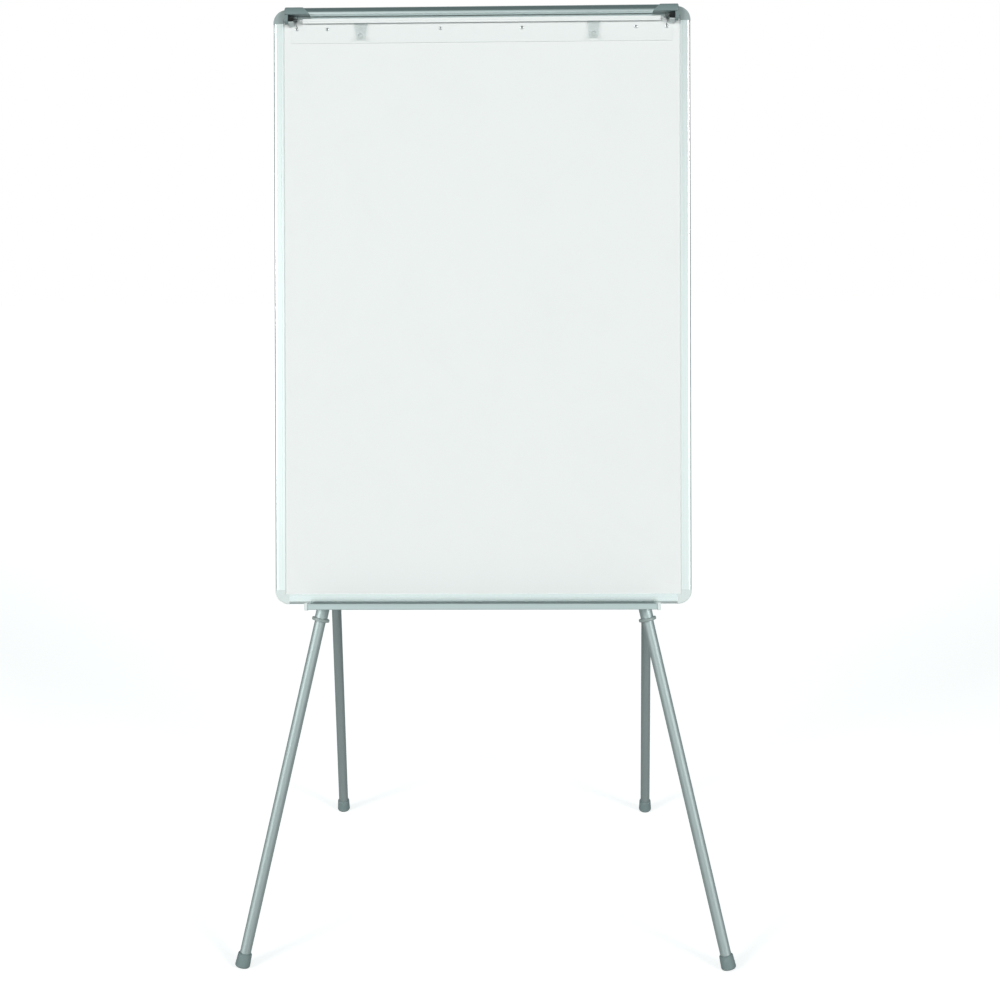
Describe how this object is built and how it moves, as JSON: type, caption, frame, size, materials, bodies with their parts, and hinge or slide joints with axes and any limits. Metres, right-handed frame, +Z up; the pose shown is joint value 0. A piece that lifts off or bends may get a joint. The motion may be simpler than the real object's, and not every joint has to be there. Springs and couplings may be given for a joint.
{
  "type": "flipchart easel",
  "caption": "Flipchart easel: framed white board with paper clamp, sliding pad hooks and pen tray on splayed telescopic front legs and folding rear legs",
  "frame": {"origin": "on the floor, at the middle of the whole object seen from above", "axes": "+Z up; +X to the right of someone facing the board; the board faces -Y and the rear legs stand towards +Y"},
  "size_m": [0.8538, 0.6678, 1.6001],
  "materials": {
    "bracket_plastic": "dark grey moulding",
    "backing": "mill-finish sheet",
    "core_board": "honeycomb core",
    "clamp_aluminium": "bright anodised",
    "cap_plastic": "satin grey",
    "foot_plate_plastic": "light grey",
    "grip_rubber": "soft black",
    "black_plastic": "matt black",
    "steel": "zinc-plated",
    "corner_plastic": "fine-textured grey",
    "rail_aluminium": "satin anodised",
    "collar_plastic": "grey",
    "foot_rubber": "grey, matt",
    "guide_plastic": "acetal",
    "leg_aluminium": "polished, clear lacquer",
    "plate_white": "satin white powder coat",
    "cross_rail_aluminium": "mill finish",
    "clear_plastic": "clear, slightly cloudy",
    "tray_aluminium": "satin anodised",
    "bracket_steel": "grey powder coat",
    "tray_cap_plastic": "pale grey",
    "white_enamel": "gloss white enamel on steel"
  },
  "bodies": {
    "frame": {"apex_bracket": "bracket_plastic", "backing_sheet": "backing", "board_core": "core_board", "clamp_foot_left": "foot_plate_plastic", "clamp_foot_right": "foot_plate_plastic", "clamp_knuckle_left": "black_plastic", "clamp_knuckle_right": "black_plastic", "clamp_pivot_pins": "steel", "clamp_springs": "steel", "frame_corner_bottom_left": "corner_plastic", "frame_corner_bottom_right": "corner_plastic", "frame_corner_top_left": "corner_plastic", "frame_corner_top_right": "corner_plastic", "frame_rail_bottom": "rail_aluminium", "frame_rail_left": "rail_aluminium", "frame_rail_right": "rail_aluminium", "frame_rail_top": "rail_aluminium", "frame_screws": "steel", "front_outer_tube_left": "leg_aluminium", "front_outer_tube_right": "leg_aluminium", "hook_plate": "plate_white", "hook_plate_screws": "steel", "leg_saddle_left": "bracket_plastic", "leg_saddle_right": "bracket_plastic", "lower_cross_rail": "cross_rail_aluminium", "pen_tray": "tray_aluminium", "rear_hinge_bracket_left": "bracket_steel", "rear_hinge_bracket_right": "bracket_steel", "rear_hinge_pins": "steel", "tray_end_cap_left": "tray_cap_plastic", "tray_end_cap_right": "tray_cap_plastic", "upper_cross_rail": "cross_rail_aluminium", "writing_surface": "white_enamel"},
    "clamp": {"clamp_bar": "clamp_aluminium", "clamp_end_cap_left": "cap_plastic", "clamp_end_cap_right": "cap_plastic", "clamp_grip_strip": "grip_rubber"},
    "front_collar_left": {"front_collar_left": "collar_plastic"},
    "front_collar_right": {"front_collar_right": "collar_plastic"},
    "front_lower_leg_left": {"front_foot_left": "foot_rubber", "front_guide_bush_left": "guide_plastic", "front_inner_tube_left": "leg_aluminium"},
    "front_lower_leg_right": {"front_foot_right": "foot_rubber", "front_guide_bush_right": "guide_plastic", "front_inner_tube_right": "leg_aluminium"},
    "pad_hook_left": {"pad_hook_left": "clear_plastic"},
    "pad_hook_right": {"pad_hook_right": "clear_plastic"},
    "rear_collar_left": {"rear_collar_left": "collar_plastic"},
    "rear_collar_right": {"rear_collar_right": "collar_plastic"},
    "rear_lower_leg_left": {"rear_foot_left": "foot_rubber", "rear_guide_bush_left": "guide_plastic", "rear_inner_tube_left": "leg_aluminium"},
    "rear_lower_leg_right": {"rear_foot_right": "foot_rubber", "rear_guide_bush_right": "guide_plastic", "rear_inner_tube_right": "leg_aluminium"},
    "rear_leg_left": {"rear_hinge_eye_left": "bracket_plastic", "rear_outer_tube_left": "leg_aluminium"},
    "rear_leg_right": {"rear_hinge_eye_right": "bracket_plastic", "rear_outer_tube_right": "leg_aluminium"}
  },
  "joints": [
    {"name": "clamp_lift", "type": "hinge", "parent": "frame", "child": "clamp", "pos_m": [0, -0.0302, 1.57806], "axis": [1, 0, 0], "range_deg": [0, 85], "stiffness_Nm_per_rad": 0.4, "springref_deg": -34.38},
    {"name": "pad_hook_slide_left", "type": "slide", "parent": "frame", "child": "pad_hook_left", "axis": [1, 0, 0], "range_m": [-0.08, 0.18]},
    {"name": "pad_hook_slide_right", "type": "slide", "parent": "frame", "child": "pad_hook_right", "axis": [1, 0, 0], "range_m": [-0.166, 0.094]},
    {"name": "front_collar_twist_left", "type": "hinge", "parent": "frame", "child": "front_collar_left", "pos_m": [-0.2785, -0.19869, 0.58336], "axis": [0.2244, 0.2026, 0.9532], "range_deg": [-90, 0]},
    {"name": "front_leg_slide_left", "type": "slide", "parent": "frame", "child": "front_lower_leg_left", "axis": [-0.2244, -0.2026, -0.9532], "range_m": [-0.55, 0.22]},
    {"name": "rear_leg_fold_left", "type": "hinge", "parent": "frame", "child": "rear_leg_left", "pos_m": [-0.285, 0.01433, 1.51339], "axis": [-0.9997, 0.0054, 0.0256], "range_deg": [0, 22.5]},
    {"name": "rear_collar_twist_left", "type": "hinge", "parent": "rear_leg_left", "child": "rear_collar_left", "pos_m": [-0.30733, 0.1998, 0.60235], "axis": [0.024, -0.1994, 0.9796], "range_deg": [-90, 0]},
    {"name": "rear_leg_slide_left", "type": "slide", "parent": "rear_leg_left", "child": "rear_lower_leg_left", "axis": [-0.024, 0.1994, -0.9796], "range_m": [-0.55, 0.22]},
    {"name": "front_collar_twist_right", "type": "hinge", "parent": "frame", "child": "front_collar_right", "pos_m": [0.2785, -0.19869, 0.58336], "axis": [-0.2244, 0.2026, 0.9532], "range_deg": [-90, 0]},
    {"name": "front_leg_slide_right", "type": "slide", "parent": "frame", "child": "front_lower_leg_right", "axis": [0.2244, -0.2026, -0.9532], "range_m": [-0.55, 0.22]},
    {"name": "rear_leg_fold_right", "type": "hinge", "parent": "frame", "child": "rear_leg_right", "pos_m": [0.285, 0.01433, 1.51339], "axis": [-0.9997, -0.0054, -0.0256], "range_deg": [0, 22.5]},
    {"name": "rear_collar_twist_right", "type": "hinge", "parent": "rear_leg_right", "child": "rear_collar_right", "pos_m": [0.30733, 0.1998, 0.60235], "axis": [-0.024, -0.1994, 0.9796], "range_deg": [-90, 0]},
    {"name": "rear_leg_slide_right", "type": "slide", "parent": "rear_leg_right", "child": "rear_lower_leg_right", "axis": [0.024, 0.1994, -0.9796], "range_m": [-0.55, 0.22]}
  ]
}
